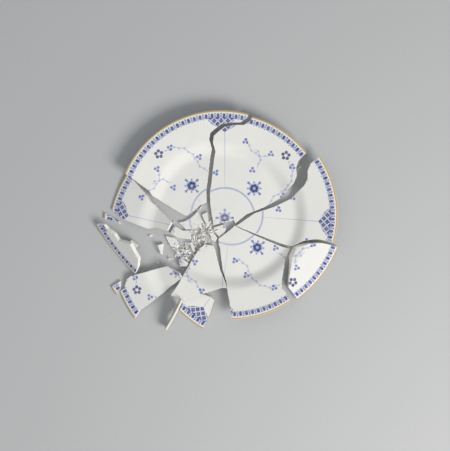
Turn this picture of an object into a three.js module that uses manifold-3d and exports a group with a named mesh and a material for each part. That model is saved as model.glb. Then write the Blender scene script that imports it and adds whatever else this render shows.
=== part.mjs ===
// A round porcelain dinner plate that has broken into pieces, lying on a floor.
// Millimetres, +Z up. The origin is on the floor, at the middle of the whole spread of pieces.
//
// The plate is turned whole, as one lathed solid. Every crack is a line drawn on the whole plate,
// and the two pieces beside a crack share that line, so the pieces would fit together again.
// Each piece is cut out of the plate and then laid down where it came to rest: pieces with a
// stretch of the foot ring lie flat on it, and pieces with only rim lie tipped on their edges.

import * as THREE from 'three';
import { ConvexGeometry } from 'three/addons/geometries/ConvexGeometry.js';
import { mergeVertices } from 'three/addons/utils/BufferGeometryUtils.js';
import ManifoldModule from 'manifold-3d';

const wasm = await ManifoldModule();
wasm.setup();

// ---------------------------------------------------------------- sizes of the whole plate

const RIM_RADIUS = 125;          // a 25 cm dinner plate
const PLATE_HEIGHT = 21;         // from the plane the foot stands on to the top of the rim
const RIM_THICKNESS = 3.4;
const WELL_RADIUS = 71;          // flat middle of the eating side
const WELL_TOP = 5.6;
const WELL_UNDERSIDE = 2;
const COVE_RADIUS = 91;          // where the bend up from the well ends and the flange starts
const COVE_TOP = 14.8;
const COVE_UNDERSIDE = 11;
const FOOT_INNER_RADIUS = 80.5;   // flat ground ring that the plate stands on
const FOOT_OUTER_RADIUS = 83.5;
const LATHE_STEPS = 96;
const CURVE_STEPS = 5;
const OUTSIDE_RADIUS = 135;      // cutting outlines pass the rim at this radius
const OUTSIDE_STEP = 15;         // degrees between their points there
const CUTTER_SPARE = 5;           // how far a cutting prism passes the plate, above and below
const SAME_POINT = 1e-6;
const CHIP_SLOPE = 0.22;         // how much lower each next corner of a chip's top is
const SPREAD_MIDDLE = [-10.5, -6.3];   // from the unbroken plate's centre to that of the spread
const GLAZE_COLOUR = '#e9e9e6';
const GLAZE_ROUGHNESS = 0.16;
const BARE_COLOUR = '#f1f0ec';
const BARE_ROUGHNESS = 0.8;

// ---------------------------------------------------------------- cracks, on the whole plate

// Where each crack meets the rim, in degrees.
const RIM_ENDS = {
  north: 74,
  northEast: 39,
  east: -10.9,
  southEast: -48.5,
  south: -83,
  southWest: -99.5,
  lowerWest: -119,
  chipLower: -136.4,
  chipUpper: -142.5,
  sliverLower: -179,
  sliverUpper: 176.7,
  northWest: 156,
};

// Each crack runs from the rim inwards, or from one meeting point of cracks to the next.
const CRACKS = {
  north: [[31, 116], [23, 110.5], [11, 110.5], [0, 108.5], [-8, 102.5], [-13, 98], [-14, 91],
    [-11, 79.5], [-13, 70], [-15.5, 46], [-18, 29], [-17.5, 15]],
  northEast: [[88, 68], [85, 59], [86, 50], [82.5, 41.5], [68, 24.5], [48, 13], [26, 4],
    [13, -6.5]],
  east: [[105, -21.5], [98, -22], [87, -24.5], [74, -32]],
  southEast: [[77, -87], [70, -80], [69, -70], [69.5, -57], [70, -45], [74, -32]],
  middle: [[74, -32], [65, -31], [30, -21], [5, -13]],
  south: [[13, -115], [9, -100], [5, -88]],
  lowerMiddle: [[5, -88], [4, -82], [-2.3, -68], [-8.8, -42.7], [-11, -37.5]],
  bottom: [[5, -88], [-1.5, -88], [-33, -98]],
  southWest: [[-21, -118], [-24, -111], [-33, -98]],
  edge: [[-33, -98], [-38, -99.5], [-48, -102], [-61, -96]],
  west: [[-61, -96], [-53, -84], [-44, -68], [-39, -59], [-28, -41]],
  chipLower: [[-88, -78], [-89, -67]],
  sliverLower: [[-112, -6.5], [-104, -9.5]],
  northWest: [[-108, 45.5], [-100, 39.5], [-87, 29.5], [-82, 23], [-62, 10.5], [-50, 3]],
};

// Edges that face the crushed middle, where the material between the pieces is lost.
const CRUSHED = {
  upperLeft: [[-50, 3], [-42, -1], [-33.5, 4.5], [-25.5, 12], [-17.5, 15]],
  centre: [[-17.5, 15], [-13.5, -9], [0.4, -5], [7.5, -4.3], [10.5, -2.5], [13, -6.5]],
  rightTip: [[13, -6.5], [5, -13]],
  lowerRight: [[5, -13], [1, -18], [-9, -27.5], [-12, -30], [-11, -37.5]],
  bottom: [[-11, -37.5], [-21, -36], [-28, -41]],
  lowerLeft: [[-28, -41], [-33, -37], [-50, -35.5], [-86, -61.5], [-89, -67]],
  rimLeft: [[-89, -67], [-82, -57], [-84, -49], [-85, -37], [-101, -30], [-103, -21], [-110, -13]],
  left: [[-105.5, -6], [-79, -10], [-71, -7], [-53.5, -7.5], [-50, 3]],
};

const back = (line) => [...line].reverse();

// The stretch of outline outside the rim, counter-clockwise from one crack's end to another's.
function rim(from, to) {
  const start = RIM_ENDS[from];
  const sweep = (RIM_ENDS[to] - start + 360) % 360;
  const steps = Math.ceil(sweep / OUTSIDE_STEP);
  const points = [];
  for (let i = 0; i <= steps; i += 1) {
    const angle = THREE.MathUtils.degToRad(start + (sweep * i) / steps);
    points.push([OUTSIDE_RADIUS * Math.cos(angle), OUTSIDE_RADIUS * Math.sin(angle)]);
  }
  return points;
}

// ---------------------------------------------------------------- pieces: outline and resting place

const { north, northEast, east, southEast, middle, south } = CRACKS;
const { lowerMiddle, bottom, southWest, edge, west, chipLower, sliverLower, northWest } = CRACKS;

// middle: the piece's centre of mass on the whole plate; at: where that point lies on the floor;
// turn: degrees the piece has turned on the floor, before it leans;
// tip: degrees it leans over; toward: the direction, in degrees, of its low side; lift: how far
// its lowest point is above the floor, where it hangs on its neighbours.
const SHARDS = {
  shard_upper_left: {
    outline: [rim('north', 'northWest'), northWest, CRUSHED.upperLeft, back(north)],
    middle: [-49.6, 64.8, 10.3],
    at: [-55.5, 64.6],
    turn: 0,
  },
  shard_centre_top: {
    outline: [rim('northEast', 'north'), north, CRUSHED.centre, back(northEast)],
    middle: [32.6, 60.3, 8.2],
    at: [31.1, 56.9],
    turn: 0,
  },
  shard_right: {
    outline: [rim('east', 'northEast'), northEast, CRUSHED.rightTip, back(middle), back(east)],
    middle: [81.2, 7.9, 9.9],
    at: [89.7, 1.9],
    turn: -4.3,
  },
  shard_rim_right: {
    outline: [rim('southEast', 'east'), east, back(southEast)],
    middle: [89.7, -50.4, 14.8],
    at: [97.8, -59.8],
    turn: -8.5,
    tip: 23.9,
    toward: -36.5,
  },
  shard_lower_right: {
    outline: [rim('south', 'southEast'), southEast, middle, CRUSHED.lowerRight,
      back(lowerMiddle), back(south)],
    middle: [34.9, -67.7, 8.4],
    at: [33.2, -71],
    turn: -7,
  },
  shard_left: {
    outline: [rim('northWest', 'sliverUpper'), CRUSHED.left, back(northWest)],
    middle: [-91.9, 11.9, 11.2],
    at: [-102.9, 8.2],
    turn: -12,
    tip: 23.9,
    toward: 162.3,
  },
  shard_rim_left: {
    outline: [rim('sliverLower', 'chipUpper'), CRUSHED.rimLeft, [[-112, -6.5]]],
    middle: [-103.2, -40.9, 17],
    at: [-124.5, -40],
    turn: 17.8,
    tip: 58.8,
    toward: 218.4,
  },
  sliver_rim_left: {
    outline: [rim('sliverUpper', 'sliverLower'), sliverLower, [[-105.5, -6]]],
    middle: [-115.9, -3.6, 17.8],
    at: [-137.9, -4.5],
    turn: -5,
    tip: 13.3,
    toward: 177,
  },
  chip_rim_left: {
    outline: [rim('chipUpper', 'chipLower'), chipLower],
    middle: [-92.4, -75.7, 18.5],
    at: [-131, -87.5],
    turn: -6,
    tip: 13.3,
    toward: -147,
  },
  shard_lower_left: {
    outline: [rim('chipLower', 'lowerWest'), west, CRUSHED.lowerLeft, back(chipLower)],
    middle: [-61.6, -66.3, 10.5],
    at: [-92.1, -85.9],
    turn: -21,
    tip: 23.9,
    toward: -154,
  },
  shard_well_bottom: {
    outline: [CRUSHED.bottom, back(west), back(edge), back(bottom), lowerMiddle],
    middle: [-25, -75.1, 7.5],
    at: [-29.3, -74.5],
    turn: 0,
  },
  shard_rim_bottom: {
    outline: [rim('southWest', 'south'), south, bottom, back(southWest)],
    middle: [-6.8, -106.2, 15.8],
    at: [-34.5, -109.4],
    turn: -36,
    tip: 17.1,
    toward: -132.2,
  },
  shard_rim_edge: {
    outline: [rim('lowerWest', 'southWest'), southWest, edge],
    middle: [-40.9, -108.8, 17.9],
    at: [-61.7, -117.4],
    turn: 66.9,
    tip: 72.9,
    toward: 158.2,
    lift: 0.2,
  },
  shard_centre_left: {
    outline: [[[-49, -5], [-41, -3], [-33, 2], [-26, 9], [-21, -5], [-29, -12], [-40, -13]]],
    middle: [-32.7, -4.4, 3.8],
    at: [-40.4, -8.7],
    turn: 0,
  },
  shard_centre_low: {
    outline: [[[-52, -8], [-41, -14], [-30, -13.5], [-33, -24], [-46, -23], [-56, -17]]],
    middle: [-43.1, -17.1, 3.8],
    at: [-53.6, -21.7],
    turn: 0,
  },
  shard_centre_tooth: {
    outline: [[[-24.5, 9.5], [-18.5, 12.5], [-16, -4], [-18.5, -6]]],
    middle: [-19.7, 4, 3.8],
    at: [-23.9, -5.1],
    turn: 0,
  },
  shard_centre_right: {
    outline: [[[-12.5, -10.5], [0, -6.5], [2.5, -12], [-0.5, -18], [-6, -22], [-12, -14]]],
    middle: [-4.8, -13.6, 3.8],
    at: [-7, -18.3],
    turn: -0.3,
  },
  shard_centre_wedge: {
    outline: [[[-17, -13], [-14, -11], [-7, -21], [-10, -26], [-15, -22]]],
    middle: [-12.3, -18.7, 3.8],
    at: [-15.5, -25.5],
    turn: 1,
  },
  shard_crushed_leaf: {
    outline: [[[-70, -10], [-58, -12], [-54, -18], [-56, -24], [-63, -22]]],
    middle: [-61, -16.7, 3.8],
    at: [-64, -32.4],
    turn: 0,
  },
  shard_crushed_tooth: {
    outline: [[[-80, -12], [-72, -10], [-73, -23], [-76, -22]]],
    middle: [-75.6, -15.9, 4.6],
    at: [-79, -40.3],
    turn: -0.6,
    tip: 16.1,
    toward: -5,
  },
  shard_crushed_blade: {
    outline: [[[-52, -24], [-48, -25], [-36, -35], [-40, -36]]],
    middle: [-43.5, -30.5, 3.8],
    at: [-57.5, -45.5],
    turn: -1.5,
  },
  shard_crushed_hook: {
    outline: [[[-70, -26], [-66, -27], [-62, -36], [-66, -38], [-73, -34]]],
    middle: [-68, -32.4, 4.3],
    at: [-52, -58],
    turn: 30,
    tip: 12.3,
    toward: 54,
  },
  shard_crushed_needle: {
    outline: [[[-27, -15], [-24, -14], [-22, -26], [-25, -27]]],
    middle: [-24.5, -20.5, 3.8],
    at: [-40.4, -38.8],
    turn: 10,
  },
  shard_crushed_flake: {
    outline: [[[-44, -25.5], [-33, -26], [-30, -30], [-36, -33]]],
    middle: [-36.3, -28.6, 3.8],
    at: [-47.5, -44.4],
    turn: -2.8,
  },
  shard_cove_small: {
    outline: [[[-90, -13], [-81, -12], [-82, -22], [-88, -21]]],
    middle: [-84.7, -16.6, 8.5],
    at: [-111.2, -35.3],
    turn: 64,
    tip: 7.8,
    toward: 248.6,
  },
};

// ---------------------------------------------------------------- small chips

// A chip is the hull over a lower and an upper outline, in parts of its length and width.
const CHIP_FORMS = {
  wedge: {
    low: [[-0.5, -0.3], [0.35, -0.5], [0.5, 0.1], [-0.1, 0.5]],
    high: [[-0.4, -0.1], [0.2, -0.3], [0.05, 0.25]],
  },
  flake: {
    low: [[-0.5, 0], [-0.1, -0.5], [0.5, -0.2], [0.3, 0.45], [-0.3, 0.4]],
    high: [[-0.35, 0], [0.3, -0.15], [0.15, 0.3]],
  },
  splinter: {
    low: [[-0.5, -0.2], [0.1, -0.5], [0.5, 0.1], [0, 0.5]],
    high: [[-0.4, 0], [0.35, 0.1], [0, -0.2]],
  },
};

// size: length, width and height; turn: degrees on the floor.
const CHIPS = [
  { form: 'splinter', at: [89, 58], size: [7.5, 2.8, 3], turn: 37 },
  { form: 'flake', at: [-45.2, -54.9], size: [6, 5, 3.2], turn: 25 },
  { form: 'wedge', at: [-68.5, -52.5], size: [4.6, 3.4, 2.6], turn: -30 },
  { form: 'flake', at: [-48.6, -33.4], size: [3.6, 3, 2.2], turn: 70 },
  { form: 'splinter', at: [-51.5, -65.5], size: [5, 2.4, 2], turn: 15 },
  { form: 'wedge', at: [-63.4, -8.4], size: [4, 3, 2.4], turn: 120 },
  { form: 'wedge', at: [-81.5, -57.5], size: [5, 3.6, 2.6], turn: 200 },
  { form: 'splinter', at: [-54.9, -38], size: [5.4, 2.2, 1.8], turn: -20 },
  { form: 'splinter', at: [-16.2, -34.6], size: [6, 2.2, 2], turn: -65 },
  { form: 'splinter', at: [-31, 8.6], size: [7, 2, 2.6], turn: 55 },
  { form: 'flake', at: [-36.6, -19.6], size: [4.2, 3.6, 2.4], turn: 10 },
  { form: 'wedge', at: [-30.4, -22.6], size: [5, 4, 3], turn: 75 },
  { form: 'flake', at: [-25.6, -20.4], size: [3.4, 2.8, 2.2], turn: 140 },
  { form: 'wedge', at: [-27.6, -29.6], size: [4.4, 3, 2.2], turn: -50 },
  { form: 'flake', at: [-34, -29.8], size: [3.6, 3, 2], turn: 200 },
  { form: 'wedge', at: [-91, -24.5], size: [5.4, 4, 2.8], turn: 20 },
];

// ---------------------------------------------------------------- the whole plate, as turned

function plateProfile() {
  const path = new THREE.Path();
  path.moveTo(0, WELL_UNDERSIDE);
  path.lineTo(FOOT_INNER_RADIUS - 2, WELL_UNDERSIDE);
  path.lineTo(FOOT_INNER_RADIUS, 0);
  path.lineTo(FOOT_OUTER_RADIUS, 0);
  path.lineTo(FOOT_OUTER_RADIUS + 1.5, 2.2);
  path.bezierCurveTo(FOOT_OUTER_RADIUS + 3.5, 6, COVE_RADIUS - 1, COVE_UNDERSIDE - 1,
    COVE_RADIUS + 4, COVE_UNDERSIDE);
  path.lineTo(RIM_RADIUS - 2, PLATE_HEIGHT - RIM_THICKNESS);
  path.quadraticCurveTo(RIM_RADIUS, PLATE_HEIGHT - RIM_THICKNESS + 0.5,
    RIM_RADIUS, PLATE_HEIGHT - RIM_THICKNESS / 2);
  path.quadraticCurveTo(RIM_RADIUS, PLATE_HEIGHT, RIM_RADIUS - 1.6, PLATE_HEIGHT);
  path.lineTo(COVE_RADIUS, COVE_TOP);
  path.bezierCurveTo(COVE_RADIUS - 8, COVE_TOP - 1.6, WELL_RADIUS + 8, WELL_TOP,
    WELL_RADIUS, WELL_TOP);
  path.lineTo(0, WELL_TOP);
  return path.getPoints(CURVE_STEPS);
}

function toSolid(geometry) {
  const bare = geometry.clone();
  bare.deleteAttribute('normal');
  bare.deleteAttribute('uv');
  const merged = mergeVertices(bare, 1e-4);
  return new wasm.Manifold(new wasm.Mesh({
    numProp: 3,
    vertProperties: new Float32Array(merged.attributes.position.array),
    triVerts: new Uint32Array(merged.index.array),
  }));
}

function toGeometry(solid) {
  const mesh = solid.getMesh();
  const geometry = new THREE.BufferGeometry();
  geometry.setAttribute('position', new THREE.BufferAttribute(mesh.vertProperties, 3));
  geometry.setIndex(new THREE.BufferAttribute(mesh.triVerts, 1));
  return geometry;
}

const plateGeometry = new THREE.LatheGeometry(plateProfile(), LATHE_STEPS);
plateGeometry.rotateX(Math.PI / 2);
const plate = toSolid(plateGeometry);

// A prism over an outline, taller than the plate.
function cutter(points) {
  const shape = new THREE.Shape(points.map(([x, y]) => new THREE.Vector2(x, y)));
  const depth = PLATE_HEIGHT + 2 * CUTTER_SPARE;
  const prism = new THREE.ExtrudeGeometry(shape, { depth, bevelEnabled: false });
  prism.translate(0, 0, -CUTTER_SPARE);
  return toSolid(prism);
}

// Two lines that meet share a point, which the joined outline holds once.
function joined(lines) {
  return lines.flat().filter(([x, y], i, all) => {
    const [nextX, nextY] = all[(i + 1) % all.length];
    return Math.hypot(nextX - x, nextY - y) > SAME_POINT;
  });
}

// ---------------------------------------------------------------- laying the pieces down

function leaned(turn, tip, toward) {
  const compass = THREE.MathUtils.degToRad(toward);
  const tiltAxis = new THREE.Vector3(-Math.sin(compass), Math.cos(compass), 0);
  const lean = new THREE.Quaternion().setFromAxisAngle(tiltAxis, THREE.MathUtils.degToRad(tip));
  const onFloor = new THREE.Quaternion().setFromAxisAngle(
    new THREE.Vector3(0, 0, 1),
    THREE.MathUtils.degToRad(turn),
  );
  return lean.multiply(onFloor);
}

function lowestPoint(geometry, quaternion) {
  const point = new THREE.Vector3();
  const positions = geometry.attributes.position;
  let lowest = Infinity;
  for (let i = 0; i < positions.count; i += 1) {
    point.fromBufferAttribute(positions, i).applyQuaternion(quaternion);
    lowest = Math.min(lowest, point.z);
  }
  return lowest;
}

function shardMesh(name, { outline, middle, at, turn, tip = 0, toward = 0, lift = 0 }) {
  const solid = plate.intersect(cutter(joined(outline)));
  const geometry = toGeometry(solid).translate(-middle[0], -middle[1], -middle[2]);
  const material = new THREE.MeshStandardMaterial({
    color: GLAZE_COLOUR,
    roughness: GLAZE_ROUGHNESS,
    metalness: 0,
  });
  const mesh = new THREE.Mesh(geometry, material);
  mesh.name = name;
  mesh.quaternion.copy(leaned(turn, tip, toward));
  mesh.position.set(at[0], at[1], lift - lowestPoint(geometry, mesh.quaternion));
  return mesh;
}

function chipMesh(name, { form, at, size: [length, width, height], turn }) {
  const { low, high } = CHIP_FORMS[form];
  const corners = [
    ...low.map(([x, y]) => new THREE.Vector3(x * length, y * width, 0)),
    ...high.map(([x, y], i) => {
      const drop = CHIP_SLOPE * i;
      return new THREE.Vector3(x * length, y * width, height * (1 - drop));
    }),
  ];
  const material = new THREE.MeshStandardMaterial({
    color: BARE_COLOUR,
    roughness: BARE_ROUGHNESS,
    metalness: 0,
  });
  const mesh = new THREE.Mesh(new ConvexGeometry(corners), material);
  mesh.name = name;
  mesh.position.set(at[0], at[1], 0);
  mesh.rotation.z = THREE.MathUtils.degToRad(turn);
  return mesh;
}

const brokenPlate = new THREE.Group();
brokenPlate.position.set(-SPREAD_MIDDLE[0], -SPREAD_MIDDLE[1], 0);

for (const [name, shard] of Object.entries(SHARDS)) {
  brokenPlate.add(shardMesh(name, shard));
}

CHIPS.forEach((chip, i) => {
  const number = String(i + 1).padStart(2, '0');
  brokenPlate.add(chipMesh(`chip_${number}`, chip));
});

export default brokenPlate;
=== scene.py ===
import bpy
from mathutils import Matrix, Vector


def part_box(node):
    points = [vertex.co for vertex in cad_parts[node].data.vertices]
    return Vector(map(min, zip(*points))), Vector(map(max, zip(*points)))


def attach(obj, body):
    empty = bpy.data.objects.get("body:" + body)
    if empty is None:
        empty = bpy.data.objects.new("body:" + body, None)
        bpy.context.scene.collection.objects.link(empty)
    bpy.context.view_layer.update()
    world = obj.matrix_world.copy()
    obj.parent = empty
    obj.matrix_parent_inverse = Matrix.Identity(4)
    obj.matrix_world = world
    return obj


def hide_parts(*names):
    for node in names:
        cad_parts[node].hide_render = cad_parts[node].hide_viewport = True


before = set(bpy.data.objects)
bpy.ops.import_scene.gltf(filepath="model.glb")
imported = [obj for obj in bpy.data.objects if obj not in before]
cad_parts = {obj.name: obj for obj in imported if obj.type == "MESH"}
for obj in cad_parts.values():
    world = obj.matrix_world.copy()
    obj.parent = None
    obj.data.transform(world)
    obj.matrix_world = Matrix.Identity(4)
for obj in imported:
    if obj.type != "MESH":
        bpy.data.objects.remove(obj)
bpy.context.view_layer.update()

import math
import random

import bpy
from mathutils import Matrix, Vector

# A porcelain dinner plate, broken into pieces on the floor. Sizes are in millimetres, and MM turns
# them to Blender's metres. The plate is turned whole, every crack is drawn on the whole plate, and
# each piece is cut out of it and laid down where it came to rest.

MM = 0.001
SEED = 71

# ---- sizes of the whole plate

RIM_RADIUS = 125
PLATE_HEIGHT = 21
RIM_THICKNESS = 3.4
WELL_RADIUS = 71
WELL_TOP = 5.6
WELL_UNDERSIDE = 2
COVE_RADIUS = 91
COVE_TOP = 14.8
COVE_UNDERSIDE = 11
FOOT_INNER_RADIUS = 80.5
FOOT_OUTER_RADIUS = 83.5
FOOT_ROUNDING = 0.35
FLUTES = 192
FLUTE_DEPTH = 0.09
FLUTES_END = 122  # radius
FLUTE_FADE_IN = 12  # how far out from the well the flutes take to reach full depth
FLUTE_FADE_OUT = 6
SPIN_STEPS = FLUTES * 6
CURVE_STEPS = 12
LATHE_WELD = 0.002  # points this close on the turned plate are merged
WALL_MIDDLE = [  # radius and height of the middle of the wall
    (0, 3.8),
    (WELL_RADIUS, 3.8),
    (COVE_RADIUS, 12.2),
    (RIM_RADIUS, 18.6),
]
OUTSIDE_RADIUS = 135
OUTSIDE_STEP = 15
SPREAD_MIDDLE = (-10.5, -6.3)

# ---- cracks, on the whole plate

RIM_ENDS = {
    "north": 74,
    "northEast": 39,
    "east": -10.9,
    "southEast": -48.5,
    "south": -83,
    "southWest": -99.5,
    "lowerWest": -119,
    "chipLower": -136.4,
    "chipUpper": -142.5,
    "sliverLower": -179,
    "sliverUpper": 176.7,
    "northWest": 156,
}

CRACKS = {
    "north": [(31, 116), (23, 110.5), (11, 110.5), (0, 108.5), (-8, 102.5), (-13, 98), (-14, 91),
              (-11, 79.5), (-13, 70), (-15.5, 46), (-18, 29), (-17.5, 15)],
    "northEast": [(88, 68), (85, 59), (86, 50), (82.5, 41.5), (68, 24.5), (48, 13), (26, 4),
                  (13, -6.5)],
    "east": [(105, -21.5), (98, -22), (87, -24.5), (74, -32)],
    "southEast": [(77, -87), (70, -80), (69, -70), (69.5, -57), (70, -45), (74, -32)],
    "middle": [(74, -32), (65, -31), (30, -21), (5, -13)],
    "south": [(13, -115), (9, -100), (5, -88)],
    "lowerMiddle": [(5, -88), (4, -82), (-2.3, -68), (-8.8, -42.7), (-11, -37.5)],
    "bottom": [(5, -88), (-1.5, -88), (-33, -98)],
    "southWest": [(-21, -118), (-24, -111), (-33, -98)],
    "edge": [(-33, -98), (-38, -99.5), (-48, -102), (-61, -96)],
    "west": [(-61, -96), (-53, -84), (-44, -68), (-39, -59), (-28, -41)],
    "chipLower": [(-88, -78), (-89, -67)],
    "sliverLower": [(-112, -6.5), (-104, -9.5)],
    "northWest": [(-108, 45.5), (-100, 39.5), (-87, 29.5), (-82, 23), (-62, 10.5), (-50, 3)],
}

CRUSHED = {
    "upperLeft": [(-50, 3), (-42, -1), (-33.5, 4.5), (-25.5, 12), (-17.5, 15)],
    "centre": [(-17.5, 15), (-13.5, -9), (0.4, -5), (7.5, -4.3), (10.5, -2.5), (13, -6.5)],
    "rightTip": [(13, -6.5), (5, -13)],
    "lowerRight": [(5, -13), (1, -18), (-9, -27.5), (-12, -30), (-11, -37.5)],
    "bottom": [(-11, -37.5), (-21, -36), (-28, -41)],
    "lowerLeft": [(-28, -41), (-33, -37), (-50, -35.5), (-86, -61.5), (-89, -67)],
    "rimLeft": [(-89, -67), (-82, -57), (-84, -49), (-85, -37), (-101, -30), (-103, -21),
                (-110, -13)],
    "left": [(-105.5, -6), (-79, -10), (-71, -7), (-53.5, -7.5), (-50, 3)],
}


def back(line):
    return line[::-1]


def rim(start_name, end_name):
    """The stretch of outline outside the rim, counter-clockwise between two cracks' ends."""
    start = RIM_ENDS[start_name]
    sweep = (RIM_ENDS[end_name] - start) % 360
    steps = math.ceil(sweep / OUTSIDE_STEP)
    angles = [math.radians(start + sweep * i / steps) for i in range(steps + 1)]
    return [(OUTSIDE_RADIUS * math.cos(a), OUTSIDE_RADIUS * math.sin(a)) for a in angles]


# ---- the pieces and how they lie

# Each shard: its outline, its centre of mass on the whole plate, where that point lies on the
# floor, and the degrees it has turned, leaned over, and the direction of its low side.
SHARDS = {
    "shard_upper_left": (
        [rim("north", "northWest"), CRACKS["northWest"], CRUSHED["upperLeft"],
         back(CRACKS["north"])],
        (-49.6, 64.8, 10.3), (-55.5, 64.6), 0, 0, 0),
    "shard_centre_top": (
        [rim("northEast", "north"), CRACKS["north"], CRUSHED["centre"],
         back(CRACKS["northEast"])],
        (32.6, 60.3, 8.2), (31.1, 56.9), 0, 0, 0),
    "shard_right": (
        [rim("east", "northEast"), CRACKS["northEast"], CRUSHED["rightTip"],
         back(CRACKS["middle"]), back(CRACKS["east"])],
        (81.2, 7.9, 9.9), (89.7, 1.9), -4.3, 0, 0),
    "shard_rim_right": (
        [rim("southEast", "east"), CRACKS["east"], back(CRACKS["southEast"])],
        (89.7, -50.4, 14.8), (97.8, -59.8), -8.5, 23.9, -36.5),
    "shard_lower_right": (
        [rim("south", "southEast"), CRACKS["southEast"], CRACKS["middle"],
         CRUSHED["lowerRight"], back(CRACKS["lowerMiddle"]), back(CRACKS["south"])],
        (34.9, -67.7, 8.4), (33.2, -71), -7, 0, 0),
    "shard_left": (
        [rim("northWest", "sliverUpper"), CRUSHED["left"], back(CRACKS["northWest"])],
        (-91.9, 11.9, 11.2), (-102.9, 8.2), -12, 23.9, 162.3),
    "shard_rim_left": (
        [rim("sliverLower", "chipUpper"), CRUSHED["rimLeft"], [(-112, -6.5)]],
        (-103.2, -40.9, 17), (-124.5, -40), 17.8, 58.8, 218.4),
    "sliver_rim_left": (
        [rim("sliverUpper", "sliverLower"), CRACKS["sliverLower"], [(-105.5, -6)]],
        (-115.9, -3.6, 17.8), (-137.9, -4.5), -5, 13.3, 177),
    "chip_rim_left": (
        [rim("chipUpper", "chipLower"), CRACKS["chipLower"]],
        (-92.4, -75.7, 18.5), (-131, -87.5), -6, 13.3, -147),
    "shard_lower_left": (
        [rim("chipLower", "lowerWest"), CRACKS["west"], CRUSHED["lowerLeft"],
         back(CRACKS["chipLower"])],
        (-61.6, -66.3, 10.5), (-92.1, -85.9), -21, 23.9, -154),
    "shard_well_bottom": (
        [CRUSHED["bottom"], back(CRACKS["west"]), back(CRACKS["edge"]), back(CRACKS["bottom"]),
         CRACKS["lowerMiddle"]],
        (-25, -75.1, 7.5), (-29.3, -74.5), 0, 0, 0),
    "shard_rim_bottom": (
        [rim("southWest", "south"), CRACKS["south"], CRACKS["bottom"],
         back(CRACKS["southWest"])],
        (-6.8, -106.2, 15.8), (-34.5, -109.4), -36, 17.1, -132.2),
    "shard_rim_edge": (
        [rim("lowerWest", "southWest"), CRACKS["southWest"], CRACKS["edge"]],
        (-40.9, -108.8, 17.9), (-61.7, -117.4), 66.9, 72.9, 158.2),
    "shard_centre_left": (
        [[(-49, -5), (-41, -3), (-33, 2), (-26, 9), (-21, -5), (-29, -12), (-40, -13)]],
        (-32.7, -4.4, 3.8), (-40.4, -8.7), 0, 0, 0),
    "shard_centre_low": (
        [[(-52, -8), (-41, -14), (-30, -13.5), (-33, -24), (-46, -23), (-56, -17)]],
        (-43.1, -17.1, 3.8), (-53.6, -21.7), 0, 0, 0),
    "shard_centre_tooth": (
        [[(-24.5, 9.5), (-18.5, 12.5), (-16, -4), (-18.5, -6)]],
        (-19.7, 4, 3.8), (-23.9, -5.1), 0, 0, 0),
    "shard_centre_right": (
        [[(-12.5, -10.5), (0, -6.5), (2.5, -12), (-0.5, -18), (-6, -22), (-12, -14)]],
        (-4.8, -13.6, 3.8), (-7, -18.3), -0.3, 0, 0),
    "shard_centre_wedge": (
        [[(-17, -13), (-14, -11), (-7, -21), (-10, -26), (-15, -22)]],
        (-12.3, -18.7, 3.8), (-15.5, -25.5), 1, 0, 0),
    "shard_crushed_leaf": (
        [[(-70, -10), (-58, -12), (-54, -18), (-56, -24), (-63, -22)]],
        (-61, -16.7, 3.8), (-64, -32.4), 0, 0, 0),
    "shard_crushed_tooth": (
        [[(-80, -12), (-72, -10), (-73, -23), (-76, -22)]],
        (-75.6, -15.9, 4.6), (-79, -40.3), -0.6, 16.1, -5),
    "shard_crushed_blade": (
        [[(-52, -24), (-48, -25), (-36, -35), (-40, -36)]],
        (-43.5, -30.5, 3.8), (-57.5, -45.5), -1.5, 0, 0),
    "shard_crushed_hook": (
        [[(-70, -26), (-66, -27), (-62, -36), (-66, -38), (-73, -34)]],
        (-68, -32.4, 4.3), (-52, -58), 30, 12.3, 54),
    "shard_crushed_needle": (
        [[(-27, -15), (-24, -14), (-22, -26), (-25, -27)]],
        (-24.5, -20.5, 3.8), (-40.4, -38.8), 10, 0, 0),
    "shard_crushed_flake": (
        [[(-44, -25.5), (-33, -26), (-30, -30), (-36, -33)]],
        (-36.3, -28.6, 3.8), (-47.5, -44.4), -2.8, 0, 0),
    "shard_cove_small": (
        [[(-90, -13), (-81, -12), (-82, -22), (-88, -21)]],
        (-84.7, -16.6, 8.5), (-111.2, -35.3), 64, 7.8, 248.6),
}

# ---- camera, light and floor

VIEW_WIDTH = 538.65  # what the picture takes in from side to side, at the plate
VIEW_CENTRE = (-1.2, -12.6)  # below the camera, from the unbroken plate's centre
VIEW_PLANE = 12  # half-way up the plate
LENS = 100
SENSOR = 36
FLOOR_SIZE = 5000
FLOOR_DARK = "#B4B6B8"
FLOOR_LIGHT = "#B9BBBD"
SKY_COLOUR = "#F2F4F6"
SKY_STRENGTH = 0.46
# Each light: its place and size in metres, its power and its colour.
KEY_LIGHT = ((0.95, -0.8, 1.15), 0.7, 25, "#FFFBF5")
FILL_LIGHT = ((-0.9, 0.5, 1.5), 1.4, 2.5, "#F4F8FF")


def floor_place(x, y, z=0):
    """A place on the floor, measured from the unbroken plate's centre, in the frame's metres."""
    return Vector((x - SPREAD_MIDDLE[0], y - SPREAD_MIDDLE[1], z)) * MM


def deselect():
    if bpy.context.mode != "OBJECT":
        bpy.ops.object.mode_set(mode="OBJECT")
    bpy.ops.object.select_all(action="DESELECT")


def pick(piece):
    deselect()
    piece.select_set(True)
    bpy.context.view_layer.objects.active = piece


def shape_by(piece, kind, **settings):
    """Adds one modifier to a piece, sets it up and applies it."""
    pick(piece)
    step = piece.modifiers.new("step", kind)
    for name, value in settings.items():
        setattr(step, name, value)
    bpy.ops.object.modifier_apply(modifier="step")


def face_outwards():
    """Turns every face of the piece in edit mode outwards, and leaves edit mode."""
    bpy.ops.mesh.select_all(action="SELECT")
    bpy.ops.mesh.normals_make_consistent(inside=False)
    bpy.ops.object.mode_set(mode="OBJECT")


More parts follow.
